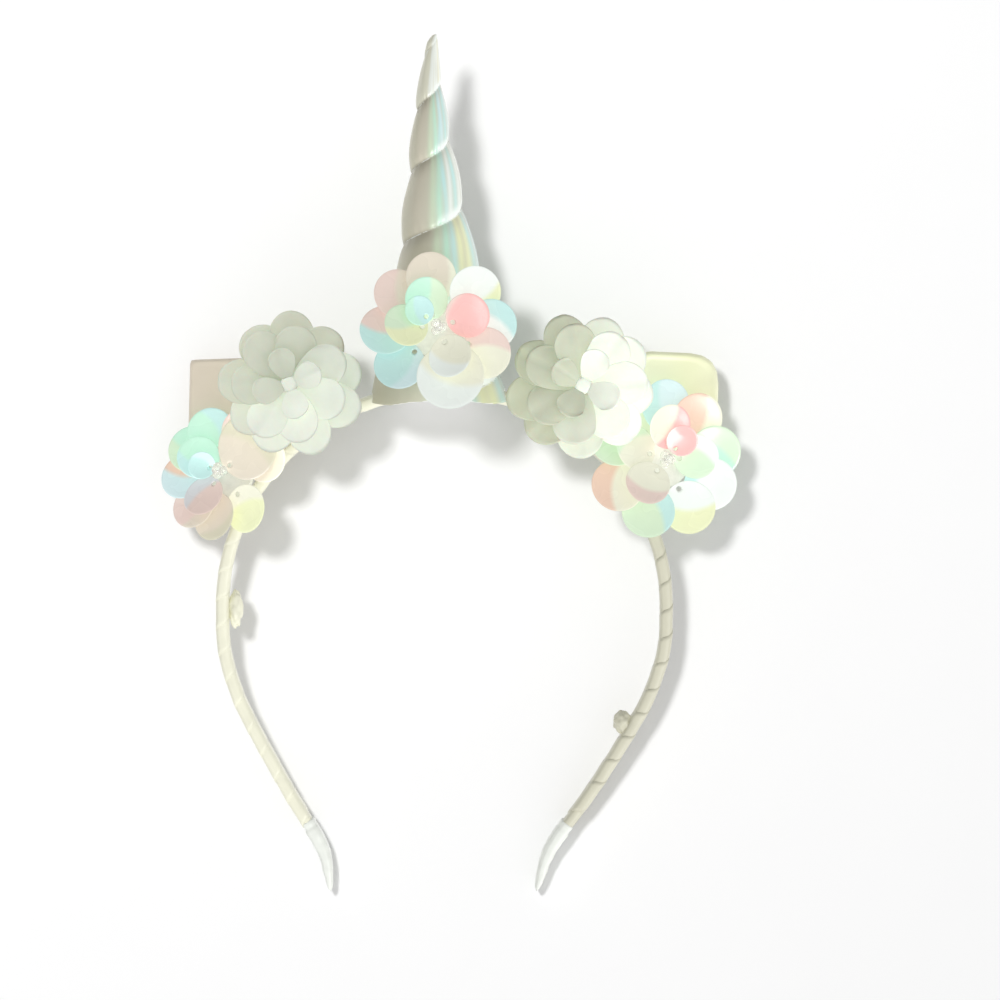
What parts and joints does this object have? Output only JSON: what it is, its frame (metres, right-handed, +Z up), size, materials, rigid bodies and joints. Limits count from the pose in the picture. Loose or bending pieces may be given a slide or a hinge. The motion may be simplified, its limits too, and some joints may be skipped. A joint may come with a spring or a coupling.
{
  "type": "unicorn horn headband",
  "caption": "Ribbon-wrapped headband with a stuffed spiral unicorn horn, sequin flowers, cupped fabric flowers and two flat iridescent ears, lying on its back.",
  "frame": {"origin": "middle of the bounding box at the surface that the headband lies on", "axes": "+X to the wearer's left, +Y from the band's tips towards the horn, +Z up out of the flowers' front"},
  "size_m": [0.1744, 0.257, 0.0506],
  "materials": {
    "ribbon": "satin ribbon wound over a plastic core",
    "white_ribbon": "folded satin ribbon",
    "hologram_cloth": "glossy iridescent coated cloth",
    "ear_cloth": "iridescent coated cloth",
    "felt": "felt",
    "pearl_film": "pearly iridescent film",
    "organza": "matt satin cloth",
    "clear_bead": "clear plastic",
    "glue": "set hot-melt glue under ribbon"
  },
  "bodies": {
    "root": {"band": "ribbon", "centre_beads": "clear_bead", "centre_sequin_base": "felt", "centre_sequin_inner_1": "pearl_film", "centre_sequin_large_1": "pearl_film", "centre_sequin_middle_1": "pearl_film", "centre_sequin_middle_2": "pearl_film", "centre_sequin_middle_3": "pearl_film", "centre_sequin_middle_4": "pearl_film", "centre_sequin_outer_1": "pearl_film", "centre_sequin_outer_2": "pearl_film", "centre_sequin_outer_3": "pearl_film", "centre_sequin_outer_4": "pearl_film", "centre_sequin_outer_5": "pearl_film", "centre_sequin_outer_6": "pearl_film", "centre_sequin_outer_7": "pearl_film", "ear_left": "ear_cloth", "ear_right": "ear_cloth", "glue_bead": "glue", "horn": "hologram_cloth", "left_beads": "clear_bead", "left_fabric_base": "felt", "left_fabric_inner_petals": "organza", "left_fabric_middle_petals": "organza", "left_fabric_outer_petals": "organza", "left_sequin_base": "felt", "left_sequin_inner_1": "pearl_film", "left_sequin_large_1": "pearl_film", "left_sequin_middle_1": "pearl_film", "left_sequin_middle_2": "pearl_film", "left_sequin_outer_1": "pearl_film", "left_sequin_outer_2": "pearl_film", "left_sequin_outer_3": "pearl_film", "left_sequin_outer_4": "pearl_film", "left_sequin_outer_5": "pearl_film", "left_sequin_outer_6": "pearl_film", "left_sequin_outer_7": "pearl_film", "left_sequin_outer_8": "pearl_film", "ribbon_knot": "ribbon", "right_beads": "clear_bead", "right_fabric_base": "felt", "right_fabric_inner_petals": "organza", "right_fabric_middle_petals": "organza", "right_fabric_outer_petals": "organza", "right_sequin_base": "felt", "right_sequin_inner_1": "pearl_film", "right_sequin_middle_1": "pearl_film", "right_sequin_middle_2": "pearl_film", "right_sequin_middle_3": "pearl_film", "right_sequin_middle_4": "pearl_film", "right_sequin_outer_1": "pearl_film", "right_sequin_outer_2": "pearl_film", "right_sequin_outer_3": "pearl_film", "right_sequin_outer_4": "pearl_film", "right_sequin_outer_5": "pearl_film", "right_sequin_outer_6": "pearl_film", "right_sequin_outer_7": "pearl_film", "right_sequin_outer_8": "pearl_film", "tip_cover_left": "white_ribbon", "tip_cover_right": "white_ribbon"}
  },
  "joints": []
}
